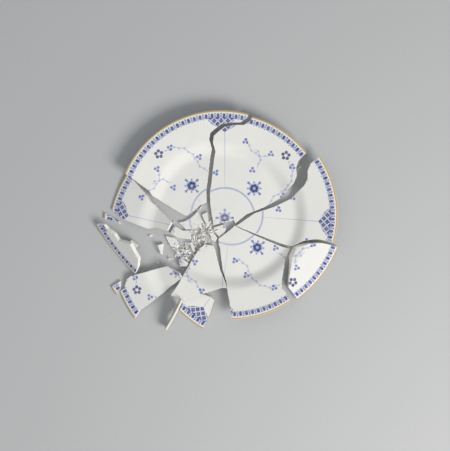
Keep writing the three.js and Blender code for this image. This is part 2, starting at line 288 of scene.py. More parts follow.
def linear(hex_colour):
    """An sRGB hex colour as linear red, green, blue and alpha."""
    values = [int(hex_colour[i:i + 2], 16) / 255 for i in (1, 3, 5)]
    return [v / 12.92 if v <= 0.04045 else ((v + 0.055) / 1.055) ** 2.4 for v in values] + [1]


def add(tree, kind, settings=None, inputs=()):
    """Adds one node, sets it up and fills its inputs, and returns its first live output."""
    node = tree.nodes.new(kind)
    for name, value in (settings or {}).items():
        setattr(node, name, value)
    named = inputs.items() if isinstance(inputs, dict) else enumerate(inputs)
    for key, value in named:
        if isinstance(value, bpy.types.NodeSocket):
            tree.links.new(value, node.inputs[key])
        elif value is not None:
            node.inputs[key].default_value = value
    return next((socket for socket in node.outputs if socket.enabled), None)


def new_material(name):
    """A material and its node tree, which is empty."""
    material = bpy.data.materials.new(name)
    material.use_nodes = True
    tree = material.node_tree
    tree.nodes.clear()
    return material, tree


# ---- materials

GLAZE_WARM = "#E6E6E2"
GLAZE_COOL = "#DCDDDC"
UNDERGLAZE = [  # colour and strength of the pale, middle and dark strokes
    ("#9AA6CE", 0.9),
    ("#4560B2", 0.9),
    ("#14276E", 0.97),
]
GILDING = "#D9B876"
FOOT_GREY = "#C9C4BA"
FOOT_GROUND = 0.25  # height to which the foot ring's edge is ground
DUST_GREY = "#DAD9D5"
BARE_WHITE = "#F2F1EE"
BARE_SHADE = "#E2DFD9"
PORCELAIN_IOR = 1.5
PLACE = "plate_place"  # attribute: the place that a point's pattern is taken from, in metres

# Roughness, and ranges of it.
GLAZE_ROUGHNESS = (0.07, 0.16)
GILDING_ROUGHNESS = 0.24
FOOT_ROUGHNESS = 0.75
DUST_ROUGHNESS = 0.35  # added where the dust is thickest
BODY_ROUGHNESS = (0.55, 0.85)
FLOOR_ROUGHNESS = 0.75

# How fine the patterns are, in cells a millimetre, with the size that gives.
MOTTLING = 0.05  # 20 mm
BRUSH_POOLS = 0.35  # 3 mm
GILDING_RUBS = 0.8  # 1.2 mm
HAIRLINE_BENDS = 0.15  # 7 mm
DUST_DRIFTS = 0.12  # 8 mm
SHEEN_PATCHES = 0.4  # 2.5 mm
GLAZE_WAVES = 0.22  # 4.5 mm
PINHOLES = 0.12  # 8 mm apart
BODY_CLOUDS = 0.3  # 3 mm
BODY_GRAIN = 2.4  # 0.4 mm: the real grain is too fine to show
FLOOR_SPECKLE = 300  # in cells a metre: 3 mm
NOISE_SPAN = (0.3, 0.7)  # where most of a noise's values lie

# The painted decoration, in millimetres on the unbroken plate. A blossom is its number of petals,
# their distance from its middle, their radius, and how far it is turned in degrees.
BRUSH_SOFTNESS = 0.18  # how far underglaze colour bleeds at a stroke's edge
STEM_HALF_WIDTH = 0.4
STEM_END_SOFTNESS = 0.02  # in radians
LEAF_LENGTH = 1.7
LEAF_OFFSET = 1.2
LEAF_WIDTH = 0.8
STEMS = [  # in one quarter of the plate, whose diagonal is the x axis:
    # centre, radius, middle of the arc and half its sweep in degrees, leaf pitch
    ((77, -3), 24, -58, 50, 6),
    ((59, -45), 21, 96, 42, 6),
    ((103, 33), 23, -176, 46, 6),
    ((70, 30), 14, -40, 48, 5),
]
SPRIG_BLOSSOMS = [(100, -14), (68, -31), (46, -31), (82, 47), (93, 15), (64, 17)]
SPRIG_BLOSSOM = (3, 2.3, 1.7, 20)
LARGE_BLOSSOM_PLACE = (104, 1)
LARGE_BLOSSOM = (5, 3.7, 2)
FLOWER_RADIUS = 50  # from the plate's middle to each quarter's flower
FLOWER_PETALS = (6, 3.1, 2.2)
FLOWER_LARGE_DOTS = (4, 9.6, 1.6, 45)
FLOWER_SMALL_DOTS = (8, 7.6, 1.1, 22.5)
FLOWER_HEART = 1.7
FLOWER_WASH = 6.4
BORDER_CELLS = 104
BORDER_RADIUS = 118.2
BORDER_DOT_RADIUS = BORDER_RADIUS + 0.6
BORDER_DOT = 1.75
BORDER_DOT_SQUEEZE = 0.72  # the dots are ovals that point outwards
ARCH_MIDDLE = BORDER_RADIUS + 1
ARCH_OUTER_END = BORDER_RADIUS + 1.2
ARCH_RADIUS = 3.3
ARCH_HALF_WIDTH = 0.45
OUTER_SMALL_DOT = (2.6, 1)  # distance outside the border's middle line, and radius
INNER_SMALL_DOT = (-2.8, 0.7)
BAND_HALF_WIDTH = 2.7
BAND_SOFTNESS = 0.8
BAND_STRENGTH = 0.35
LATTICE_RADIUS = 110
LATTICE_TOP = BORDER_RADIUS - 1.6
LATTICE_DEPTH = 14
LATTICE_HALF_WIDTH = 15.5
LATTICE_PITCH = 8
LATTICE_SOFTNESS = 0.3
LATTICE_WASH = 0.6
CELL_REACH = 0.37  # half a lattice cell's dark square, as a part of the pitch
CELL_HEART_REACH = 0.1
CELL_SOFTNESS = 0.04
CELL_HEART_STRENGTH = 0.4
WELL_RING_RADIUS = 36
WELL_RING_HALF_WIDTH = 1.1
WELL_RING_SOFTNESS = 0.4
SPOKE_HALF_WIDTH = 0.5

# The gilding lies on the crest of the lip.
GILDING_RADIUS = 123
GILDING_HEIGHT = 20.45
GILDING_EDGE = 0.1
GILDING_METALLIC = 0.4  # worn thin, it lets the white body through
GILDING_RUBBED = (0.62, 0.7)  # the noise there, from whole to worn
GILDING_WORN = 0.25  # what is left of its strength where it is rubbed through
BRUSH_THIN = 0.75  # strength of the colour where the brush left least

# Hairlines and dust round the blow.
BLOW_ON_PLATE = (-20, -14)
HAIRLINE_RAYS = 15
HAIRLINE_RING_PITCH = 19
HAIRLINE_WANDER = 0.35
HAIRLINE_WIDTH = 0.014  # of a cell between rays
HAIRLINE_STRENGTH = 0.55
HAIRLINE_REACH = (10, 34)  # where the lines start to fade, and where they end
HAIRLINE_GREY = "#7E7D80"
DUST_STRENGTH = 0.45
DUST_REACH = (8, 70)  # where dust is thickest round the blow, and where it is thinnest
DUST_EXTRA = (0.4, 0.05)  # how much the noise is raised there
DUST_SPAN = (0.6, 1.1)

# Relief: heights in millimetres, and parts of those heights.
GLAZE_RELIEF = 0.12
PINHOLE_RADIUS = 0.035  # in cells
PINHOLE_DEPTH = 0.6
DUST_RELIEF = 0.15
BODY_RELIEF = 0.15

MATH = "ShaderNodeMath"
VECTOR = "ShaderNodeVectorMath"
RANGE = "ShaderNodeMapRange"
COMBINE = "ShaderNodeCombineXYZ"
SPLIT = "ShaderNodeSeparateXYZ"
NOISE = "ShaderNodeTexNoise"
CELLS = "ShaderNodeTexVoronoi"
BLEND = "ShaderNodeMix"
PLUS = {"operation": "ADD"}
MINUS = {"operation": "SUBTRACT"}
TIMES = {"operation": "MULTIPLY"}
TIMES_PLUS = {"operation": "MULTIPLY_ADD"}
OVER = {"operation": "DIVIDE"}
LARGER = {"operation": "MAXIMUM"}
SIZE = {"operation": "ABSOLUTE"}
FRACTION = {"operation": "FRACT"}
WHOLE = {"operation": "FLOOR"}
POWER = {"operation": "POWER"}
PINGPONG = {"operation": "PINGPONG"}
SINE = {"operation": "SINE"}
COSINE = {"operation": "COSINE"}
ARC_TANGENT = {"operation": "ARCTAN2"}
ABOVE = {"operation": "GREATER_THAN"}
LENGTH = {"operation": "LENGTH"}
DISTANCE = {"operation": "DISTANCE"}
SCALE = {"operation": "SCALE"}
SMOOTH = {"interpolation_type": "SMOOTHSTEP"}
COLOURS = {"data_type": "RGBA"}
COLOUR_A = 6  # a colour blend's two colours among its inputs
COLOUR_B = 7


def inside(tree, distance, reach, softness=BRUSH_SOFTNESS):
    """1 where the distance is under the reach, 0 past it, and soft between."""
    return add(tree, RANGE, SMOOTH, (distance, reach - softness, reach + softness, 1, 0))


def ring(tree, distance, radius, half_width, softness=BRUSH_SOFTNESS):
    """1 on a line at a radius."""
    away = add(tree, MATH, SIZE, (add(tree, MATH, MINUS, (distance, radius)),))
    return inside(tree, away, half_width, softness)


def either(tree, masks):
    """The strongest of several masks."""
    total = masks[0]
    for mask in masks[1:]:
        total = add(tree, MATH, LARGER, (total, mask))
    return total


def spot(tree, place, centre, radius):
    """1 within a round spot."""
    away = add(tree, VECTOR, DISTANCE, (place, (*centre, 0)))
    return inside(tree, away, radius)


def polar(tree, place):
    """Distance from the middle, and angle."""
    away = add(tree, VECTOR, LENGTH, (place,))
    x = add(tree, SPLIT, None, (place,))
    y = x.node.outputs["Y"]
    return away, add(tree, MATH, ARC_TANGENT, (y, x))


def centred_fraction(tree, count):
    """How far into its cell a count is, from -0.5 to 0.5."""
    return add(tree, MATH, MINUS, (add(tree, MATH, FRACTION, (count,)), 0.5))


def from_polar(tree, away, angle):
    """A place from its distance and angle."""
    x = add(tree, MATH, TIMES, (away, add(tree, MATH, COSINE, (angle,))))
    y = add(tree, MATH, TIMES, (away, add(tree, MATH, SINE, (angle,))))
    return add(tree, COMBINE, None, (x, y))


def stem(tree, place, centre, radius, middle, half_sweep, leaf_pitch):
    """A painted stem along an arc, with small leaves on both sides in turn."""
    from_centre = add(tree, VECTOR, MINUS, (place, (*centre, 0)))
    turned = add(tree, "ShaderNodeVectorRotate", {"rotation_type": "Z_AXIS"},
                 {"Vector": from_centre, "Angle": math.radians(-middle)})
    away, angle = polar(tree, turned)
    on_arc = add(tree, MATH, SIZE, (angle,))
    on_arc = inside(tree, on_arc, math.radians(half_sweep), STEM_END_SOFTNESS)
    line = ring(tree, away, radius, STEM_HALF_WIDTH)
    count = add(tree, MATH, OVER, (angle, leaf_pitch / radius))
    along = centred_fraction(tree, count)
    along = add(tree, MATH, TIMES, (along, leaf_pitch / LEAF_LENGTH))
    side = add(tree, MATH, PINGPONG, (add(tree, MATH, WHOLE, (count,)), 1))
    side = add(tree, MATH, TIMES_PLUS, (side, 2 * LEAF_OFFSET, -LEAF_OFFSET))
    across = add(tree, MATH, MINUS, (add(tree, MATH, MINUS, (away, radius)), side))
    leaf_place = add(tree, COMBINE, None, (along, across))
    leaf = inside(tree, add(tree, VECTOR, LENGTH, (leaf_place,)), LEAF_WIDTH)
    strokes = add(tree, MATH, LARGER, (line, leaf))
    return add(tree, MATH, TIMES, (strokes, on_arc))


def blossom(tree, place, centre, petals, petal_reach, petal_radius, turn=0):
    """Round petals about a centre: the plane is folded into one petal's sector."""
    away, angle = polar(tree, add(tree, VECTOR, MINUS, (place, (*centre, 0))))
    count = add(tree, MATH, TIMES_PLUS, (angle, petals / math.tau, turn / 360 * petals))
    folded = add(tree, MATH, TIMES, (centred_fraction(tree, count), math.tau / petals))
    return spot(tree, from_polar(tree, away, folded), (petal_reach, 0), petal_radius)


def flowers_and_sprigs(tree, flat, quarter_place):
    """A flower in the middle and one in each quarter, with sprigs between them."""
    pale = [stem(tree, quarter_place, *settings) for settings in STEMS]
    middle = [blossom(tree, quarter_place, centre, *SPRIG_BLOSSOM) for centre in SPRIG_BLOSSOMS]
    dark = [blossom(tree, quarter_place, LARGE_BLOSSOM_PLACE, *LARGE_BLOSSOM)]
    for place, centre in ((quarter_place, (FLOWER_RADIUS, 0)), (flat, (0, 0))):
        petals = blossom(tree, place, centre, *FLOWER_PETALS)
        heart = spot(tree, place, centre, FLOWER_HEART)
        dark.append(add(tree, MATH, MINUS, (petals, heart)))
        middle.append(blossom(tree, place, centre, *FLOWER_LARGE_DOTS))
        middle.append(blossom(tree, place, centre, *FLOWER_SMALL_DOTS))
        pale.append(spot(tree, place, centre, FLOWER_WASH))
    return pale, middle, dark


def border(tree, radius, angle):
    """A row of large dots, each under a small arch, with small dots between the arches."""
    cell_angle = math.tau / BORDER_CELLS
    cell = centred_fraction(tree, add(tree, MATH, OVER, (angle, cell_angle)))
    cell = add(tree, MATH, TIMES, (cell, cell_angle * BORDER_RADIUS))
    outwards = add(tree, MATH, MINUS, (radius, BORDER_DOT_RADIUS))
    outwards = add(tree, MATH, TIMES, (outwards, BORDER_DOT_SQUEEZE))
    dots = spot(tree, add(tree, COMBINE, None, (cell, outwards)), (0, 0), BORDER_DOT)

    place = add(tree, COMBINE, None, (cell, radius))
    to_arch = add(tree, VECTOR, DISTANCE, (place, (0, ARCH_MIDDLE, 0)))
    arch = ring(tree, to_arch, ARCH_RADIUS, ARCH_HALF_WIDTH)
    middle = [add(tree, MATH, TIMES, (arch, inside(tree, radius, ARCH_OUTER_END)))]
    mirrored = add(tree, COMBINE, None, (add(tree, MATH, SIZE, (cell,)), radius))
    for outside, size in (OUTER_SMALL_DOT, INNER_SMALL_DOT):
        between_arches = (cell_angle * BORDER_RADIUS / 2, BORDER_RADIUS + outside)
        middle.append(spot(tree, mirrored, between_arches, size))
    band = ring(tree, radius, BORDER_DOT_RADIUS, BAND_HALF_WIDTH, BAND_SOFTNESS)
    return [add(tree, MATH, TIMES, (band, BAND_STRENGTH))], middle, [dots]


def lattice(tree, sideways, radius):
    """A lens-shaped patch of dark squares in a pale net, inside the border."""
    depth = add(tree, MATH, MINUS, (LATTICE_TOP, radius))
    reach = add(tree, MATH, POWER, (add(tree, MATH, OVER, (depth, LATTICE_DEPTH)), 2))
    reach = add(tree, MATH, TIMES, (add(tree, MATH, MINUS, (1, reach)), LATTICE_HALF_WIDTH))
    in_lens = inside(tree, add(tree, MATH, MINUS, (sideways, reach)), 0, LATTICE_SOFTNESS)
    below_border = inside(tree, add(tree, MATH, TIMES, (depth, -1)), 0, LATTICE_SOFTNESS)
    patch = add(tree, MATH, TIMES, (in_lens, below_border))
    diagonals = []
    for combine in (PLUS, MINUS):
        diagonal = add(tree, MATH, combine, (sideways, depth))
        diagonal = centred_fraction(tree, add(tree, MATH, OVER, (diagonal, LATTICE_PITCH)))
        diagonals.append(add(tree, MATH, SIZE, (diagonal,)))
    from_middle = add(tree, MATH, LARGER, diagonals)
    square = inside(tree, from_middle, CELL_REACH, CELL_SOFTNESS)
    heart = inside(tree, from_middle, CELL_HEART_REACH, CELL_SOFTNESS)
    heart = add(tree, MATH, TIMES, (heart, CELL_HEART_STRENGTH))
    square = add(tree, MATH, MINUS, (square, heart))
    wash = add(tree, MATH, TIMES, (patch, LATTICE_WASH))
    return [wash], [], [add(tree, MATH, TIMES, (square, patch))]


def ring_and_spokes(tree, sideways, radius):
    """A ring round the middle of the well, and a line from it to each lattice patch."""
    well_ring = ring(tree, radius, WELL_RING_RADIUS, WELL_RING_HALF_WIDTH, WELL_RING_SOFTNESS)
    spoke = inside(tree, sideways, SPOKE_HALF_WIDTH)
    start = add(tree, RANGE, SMOOTH, (radius, WELL_RING_RADIUS, WELL_RING_RADIUS + 1, 0, 1))
    end = inside(tree, radius, BORDER_RADIUS - LATTICE_DEPTH)
    spoke = add(tree, MATH, TIMES, (spoke, add(tree, MATH, TIMES, (start, end))))
    return [well_ring, spoke], [], []


def painted_decoration(tree, flat, radius, angle):
    """Masks for the pale, middle and dark blue strokes on the eating side."""
    quarter = centred_fraction(tree, add(tree, MATH, OVER, (angle, math.tau / 4)))
    quarter = add(tree, MATH, TIMES, (quarter, math.tau / 4))
    quarter_place = from_polar(tree, radius, quarter)
    from_axis = add(tree, MATH, MINUS, (math.tau / 8, add(tree, MATH, SIZE, (quarter,))))
    sideways = add(tree, MATH, TIMES, (from_axis, LATTICE_RADIUS))
    groups = [
        flowers_and_sprigs(tree, flat, quarter_place),
        border(tree, radius, angle),
        lattice(tree, sideways, radius),
        ring_and_spokes(tree, sideways, radius),
    ]
    return [either(tree, [mask for group in shade for mask in group]) for shade in zip(*groups)]


def is_upper_surface(tree, radius, height):
    """1 on the eating side, whose surface is above the wall's middle at every radius."""
    wall_middle = add(tree, "ShaderNodeFloatCurve", None,
                      (1, add(tree, MATH, OVER, (radius, RIM_RADIUS))))
    curve = wall_middle.node.mapping.curves[0]
    (_, first), (_, last) = WALL_MIDDLE[0], WALL_MIDDLE[-1]
    curve.points[0].location = (0, first / PLATE_HEIGHT)
    curve.points[1].location = (1, last / PLATE_HEIGHT)
    for curve_radius, curve_height in WALL_MIDDLE[1:-1]:
        curve.points.new(curve_radius / RIM_RADIUS, curve_height / PLATE_HEIGHT)
    for point in curve.points:
        point.handle_type = "VECTOR"
    wall_middle.node.mapping.update()
    level = add(tree, MATH, OVER, (height, PLATE_HEIGHT))
    return add(tree, MATH, ABOVE, (level, wall_middle))


def hairline_cracks(tree, flat):
    """Rays and broken rings round the blow, and the distance from it."""
    from_blow, bearing = polar(tree, add(tree, VECTOR, MINUS, (flat, (*BLOW_ON_PLATE, 0))))
    rays = add(tree, MATH, TIMES, (bearing, HAIRLINE_RAYS / math.tau))
    rings = add(tree, MATH, OVER, (from_blow, HAIRLINE_RING_PITCH))
    place = add(tree, COMBINE, None, (rays, rings))
    wander = add(tree, NOISE, None, {"Vector": flat, "Scale": HAIRLINE_BENDS, "Detail": 2})
    wander = wander.node.outputs["Color"]
    wander = add(tree, VECTOR, SCALE, {"Vector": wander, "Scale": HAIRLINE_WANDER})
    place = add(tree, VECTOR, PLUS, (place, wander))
    lines = add(tree, CELLS, {"feature": "DISTANCE_TO_EDGE"}, {"Vector": place, "Scale": 1})
    lines = inside(tree, lines, HAIRLINE_WIDTH, HAIRLINE_WIDTH / 2)
    shaken = add(tree, RANGE, SMOOTH, (from_blow, *HAIRLINE_REACH, HAIRLINE_STRENGTH, 0))
    return add(tree, MATH, TIMES, (lines, shaken)), from_blow


def remembered_place(tree):
    """The remembered place of the shaded point, in millimetres."""
    at = add(tree, "ShaderNodeAttribute", {"attribute_name": PLACE}).node.outputs["Vector"]
    return add(tree, VECTOR, SCALE, {"Vector": at, "Scale": 1 / MM})


def painted_porcelain():
    """Hard porcelain, painted in blue by hand under a clear fired glaze, with a gilt rim.

    The glaze gives sharp, even highlights over cold white; the blue lies under it, a little
    uneven and soft at its edges. The gilding is thin, and rubbed through in places.
    """
    material, tree = new_material("painted_porcelain")
    at = remembered_place(tree)
    x = add(tree, SPLIT, None, (at,))
    height = x.node.outputs["Z"]
    flat = add(tree, COMBINE, None, (x, x.node.outputs["Y"]))
    radius, angle = polar(tree, flat)
    angle = add(tree, MATH, PLUS, (angle, math.tau))
    upper = is_upper_surface(tree, radius, height)

    # The brush leaves more colour in some places than in others.
    brush = add(tree, NOISE, None, {"Vector": at, "Scale": BRUSH_POOLS, "Detail": 3})
    brush = add(tree, RANGE, None, (brush, *NOISE_SPAN, BRUSH_THIN, 1))
    brush = add(tree, MATH, TIMES, (brush, upper))
    strokes = painted_decoration(tree, flat, radius, angle)
    layers = []
    for mask, (ink, strength) in zip(strokes, UNDERGLAZE):
        mask = add(tree, MATH, TIMES, (mask, brush))
        layers.append((add(tree, MATH, TIMES, (mask, strength)), ink))

    # The gilt line on the rim, thinner where hands and washing have rubbed it.
    rubbed = add(tree, NOISE, None, {"Vector": at, "Scale": GILDING_RUBS, "Detail": 4})
    gilt = add(tree, RANGE, None, (rubbed, *GILDING_RUBBED, 1, GILDING_WORN))
    gilt = add(tree, MATH, TIMES, (gilt, upper))
    for across, start in ((radius, GILDING_RADIUS), (height, GILDING_HEIGHT)):
        edge = (start - GILDING_EDGE, start + GILDING_EDGE)
        past_start = add(tree, RANGE, SMOOTH, (across, *edge, 0, 1))
        gilt = add(tree, MATH, TIMES, (gilt, past_start))
    layers.append((gilt, GILDING))

    hairlines, from_blow = hairline_cracks(tree, flat)
    layers.append((hairlines, HAIRLINE_GREY))

    # The foot ring stood on the kiln shelf, so its ground edge has no glaze and has greyed.
    foot = inside(tree, height, FOOT_GROUND, 0.1)
    layers.append((foot, FOOT_GREY))

    # Fine dust from the break dulls the glaze in drifts, most of all round the blow.
    dust = add(tree, NOISE, None,
               {"Vector": at, "Scale": DUST_DRIFTS, "Detail": 8, "Roughness": 0.7})
    near_blow = add(tree, RANGE, SMOOTH, (from_blow, *DUST_REACH, *DUST_EXTRA))
    dust = add(tree, MATH, PLUS, (dust, near_blow))
    dust = add(tree, RANGE, SMOOTH, (dust, *DUST_SPAN, 0, 1))
    layers.append((add(tree, MATH, TIMES, (dust, DUST_STRENGTH)), DUST_GREY))

    mottling = add(tree, NOISE, None, {"Vector": at, "Scale": MOTTLING, "Detail": 2})
    colour = linear(GLAZE_WARM)
    for mask, paint in [(mottling, GLAZE_COOL)] + layers:
        colour = add(tree, BLEND, COLOURS,
                     {"Factor": mask, COLOUR_A: colour, COLOUR_B: linear(paint)})

    sheen = add(tree, NOISE, None, {"Vector": at, "Scale": SHEEN_PATCHES, "Detail": 4})
    roughness = add(tree, RANGE, None, (sheen, *NOISE_SPAN, *GLAZE_ROUGHNESS))
    roughness = add(tree, MATH, TIMES_PLUS, (dust, DUST_ROUGHNESS, roughness))
    for mask, rougher in ((foot, FOOT_ROUGHNESS), (gilt, GILDING_ROUGHNESS)):
        rougher = add(tree, MATH, TIMES, (mask, rougher))
        roughness = add(tree, MATH, LARGER, (roughness, rougher))

    # Glaze settles with a faint waviness a few millimetres long, and holds a few pinholes.
    waves = add(tree, NOISE, None, {"Vector": at, "Scale": GLAZE_WAVES, "Detail": 1})
    pinholes = add(tree, CELLS, None, {"Vector": at, "Scale": PINHOLES})
    pinholes = inside(tree, pinholes, PINHOLE_RADIUS, 0.02)
    relief = add(tree, MATH, TIMES_PLUS, (pinholes, -PINHOLE_DEPTH, waves))
    relief = add(tree, MATH, TIMES_PLUS, (dust, DUST_RELIEF, relief))
    bump = add(tree, "ShaderNodeBump", None,
               {"Strength": 0.35, "Distance": GLAZE_RELIEF * MM, "Height": relief})
    metallic = add(tree, MATH, TIMES, (gilt, GILDING_METALLIC))
    shader = add(tree, "ShaderNodeBsdfPrincipled", None,
                 {"Base Color": colour, "Roughness": roughness, "Metallic": metallic,
                  "Normal": bump, "IOR": PORCELAIN_IOR})
    add(tree, "ShaderNodeOutputMaterial", None, {"Surface": shader})
    return material


def broken_porcelain():
    """The body of hard porcelain, freshly broken: bright white, matt and finely grained."""
    material, tree = new_material("broken_porcelain")
    at = remembered_place(tree)
    grain = add(tree, NOISE, None, {"Vector": at, "Scale": BODY_GRAIN, "Detail": 6})
    cloud = add(tree, NOISE, None, {"Vector": at, "Scale": BODY_CLOUDS, "Detail": 3})
    shade = add(tree, MATH, TIMES_PLUS, (grain, 0.6, add(tree, MATH, TIMES, (cloud, 0.4))))
    shade = add(tree, RANGE, None, (shade, 0.35, 0.65, 0, 1))
    colour = add(tree, BLEND, COLOURS,
                 {"Factor": shade, COLOUR_A: linear(BARE_SHADE), COLOUR_B: linear(BARE_WHITE)})
    roughness = add(tree, RANGE, None, (grain, *NOISE_SPAN, *BODY_ROUGHNESS))
    bump = add(tree, "ShaderNodeBump", None,
               {"Strength": 0.6, "Distance": BODY_RELIEF * MM, "Height": grain})
    shader = add(tree, "ShaderNodeBsdfPrincipled", None,
                 {"Base Color": colour, "Roughness": roughness, "Normal": bump,
                  "IOR": PORCELAIN_IOR})
    add(tree, "ShaderNodeOutputMaterial", None, {"Surface": shader})
    return material


def pale_floor():
    """A painted studio floor, matt and even."""
    material, tree = new_material("painted_floor")
    at = add(tree, "ShaderNodeTexCoord").node.outputs["Object"]
    speckle = add(tree, NOISE, None, {"Vector": at, "Scale": FLOOR_SPECKLE, "Detail": 4})
    colour = add(tree, BLEND, COLOURS,
                 {"Factor": speckle, COLOUR_A: linear(FLOOR_DARK), COLOUR_B: linear(FLOOR_LIGHT)})
    shader = add(tree, "ShaderNodeBsdfPrincipled", None,
                 {"Base Color": colour, "Roughness": FLOOR_ROUGHNESS})
    add(tree, "ShaderNodeOutputMaterial", None, {"Surface": shader})
    return material


# ---- turning the whole plate


def bezier(points, steps):
    """Points along a Bezier curve, after its first one."""
    line = []
    for i in range(1, steps + 1):
        t = i / steps
        layer = [Vector(p) for p in points]
        while len(layer) > 1:
            layer = [a.lerp(b, t) for a, b in zip(layer, layer[1:])]
        line.append(tuple(layer[0]))
    return line


def straight(start, end, step):
    """Points along a straight line, after its first one."""
    steps = max(1, round(math.dist(start, end) / step))
    return [tuple(Vector(start).lerp(Vector(end), i / steps)) for i in range(1, steps + 1)]


def plate_profile():
    """The plate's section, from its middle out underneath and back in over the eating side."""
    underside = (FOOT_INNER_RADIUS - 2, WELL_UNDERSIDE)
    inner = (FOOT_INNER_RADIUS, 0)
    outer = (FOOT_OUTER_RADIUS, 0)
    cove_start = (FOOT_OUTER_RADIUS + 1.5, 2.2)
    flange_start = (COVE_RADIUS + 4, COVE_UNDERSIDE)
    lip_under = (RIM_RADIUS - 2, PLATE_HEIGHT - RIM_THICKNESS)
    lip_side = (RIM_RADIUS, PLATE_HEIGHT - RIM_THICKNESS / 2)
    lip_top = (RIM_RADIUS - 1.6, PLATE_HEIGHT)
    flange_end = (COVE_RADIUS, COVE_TOP)
    well_edge = (WELL_RADIUS, WELL_TOP)
    line = [(0, WELL_UNDERSIDE)]
    line += straight(line[-1], underside, 6)
    line += [(inner[0] - FOOT_ROUNDING, FOOT_ROUNDING), (inner[0] + FOOT_ROUNDING / 2, 0)]
    line += [(outer[0] - FOOT_ROUNDING / 2, 0), (outer[0] + FOOT_ROUNDING / 2, FOOT_ROUNDING)]
    line += [cove_start]
    line += bezier([cove_start, (FOOT_OUTER_RADIUS + 3.5, 6),
                    (COVE_RADIUS - 1, COVE_UNDERSIDE - 1), flange_start], CURVE_STEPS)
    line += straight(flange_start, lip_under, 5)
    line += bezier([lip_under, (RIM_RADIUS, PLATE_HEIGHT - RIM_THICKNESS + 0.5), lip_side], 6)
    line += bezier([lip_side, (RIM_RADIUS, PLATE_HEIGHT), lip_top], 6)
    line += straight(lip_top, flange_end, 3)
    line += bezier([flange_end, (COVE_RADIUS - 8, COVE_TOP - 1.6), (WELL_RADIUS + 8, WELL_TOP),
                    well_edge], CURVE_STEPS)
    line += straight(well_edge, (0, WELL_TOP), 6)
    return line


def turned_plate(glaze):
    """The whole plate: its section is drawn point by point, then spun about the middle."""
    deselect()
    bpy.ops.mesh.primitive_plane_add(size=MM)
    plate = bpy.context.object
    plate.name = "whole_plate"
    bpy.ops.object.mode_set(mode="EDIT")
    bpy.ops.mesh.select_all(action="SELECT")
    bpy.ops.mesh.merge(type="CENTER")
    line = plate_profile()
    here = (0, 0)
    for x, z in line:
        step = ((x - here[0]) * MM, 0, (z - here[1]) * MM)
        if here == (0, 0):
            bpy.ops.transform.translate(value=step)
        else:
            bpy.ops.mesh.extrude_region_move(TRANSFORM_OT_translate={"value": step})
        here = (x, z)
    bpy.ops.object.mode_set(mode="OBJECT")
    shape_by(plate, "SCREW", steps=SPIN_STEPS, render_steps=SPIN_STEPS,
             use_merge_vertices=True, merge_threshold=LATHE_WELD * MM)
    bpy.ops.object.mode_set(mode="EDIT")
    face_outwards()
    plate.data.materials.append(glaze)
    return plate


def flute(plate):
    """Presses shallow flutes into both sides of the bend and the flange."""
    group = plate.vertex_groups.new(name="flutes")
    for vertex in plate.data.vertices:
        radius = vertex.co.xy.length / MM
        fade = min(max((radius - WELL_RADIUS) / FLUTE_FADE_IN, 0), 1)
        fade *= min(max((FLUTES_END - radius) / FLUTE_FADE_OUT, 0), 1)
        if fade:
            wave = 0.5 + 0.5 * math.cos(FLUTES * math.atan2(vertex.co.y, vertex.co.x))
            group.add([vertex.index], fade * wave, "REPLACE")
    shape_by(plate, "DISPLACE", direction="Z", vertex_group="flutes",
             strength=-FLUTE_DEPTH * MM, mid_level=0)
    plate.vertex_groups.clear()


# ---- breaking it

CRACK_STEP = 0.9  # spacing of points along a crack
LAYER_STEP = 0.8  # spacing of the layers up a fracture face
CUTTER_BOTTOM = -2.1
CUTTER_LAYERS = 32
UPPER_POINTS = 90  # the profile's last points, which run along the upper surface
NIBBLE_SPACING = (2.5, 8)  # nibbles are the small spalls along the glaze's edge
NIBBLE_REACH = (0.6, 1.7)
NIBBLE_SHRINK = (0.5, 1)
NIBBLE_LENGTH = (0.9, 1.7)  # length, width and depth are parts of its reach
NIBBLE_WIDTH = (0.7, 1.1)
NIBBLE_DEPTH = 0.45
NIBBLE_RISE = 0.15
SHARPEST_CURVE = 32  # degrees between faces, past which an edge is left crisp
TEARS = [  # size of the unevenness and how far it moves a face
    ("torn_coarse", 9, 0.9),
    ("torn_fine", 2.2, 0.45),
]
CHIP_CUTS = 4
CHIP_WELD = 0.01  # points this close on a chip are merged
CHIP_LEVEL = 0.93  # upward part of a normal, above which a chip's face is glazed
CHIP_TEAR_SIZE = 1.6
CHIP_TEAR_STRENGTH = 0.5
CHIP_TEAR_MIDDLE = 0.85  # so that a chip is torn inwards more than outwards


def tear_texture(name, size):
    texture = bpy.data.textures.new(name, "CLOUDS")
    texture.noise_scale = size * MM
    texture.noise_depth = 2
    return texture


def crack_outline(lines):
    """One closed outline from a list of lines, with points close enough to be torn."""
    corners = []
    for point in (p for line in lines for p in line):
        if not corners or math.dist(point, corners[-1]) > 1e-6:
            corners.append(point)
    if math.dist(corners[0], corners[-1]) < 1e-6:
        corners.pop()
    outline = []
    for start, end in zip(corners, corners[1:] + corners[:1]):
        outside = min(math.hypot(*start), math.hypot(*end)) > RIM_RADIUS + 5
        outline += straight(start, end, OUTSIDE_RADIUS if outside else CRACK_STEP)
    return outline


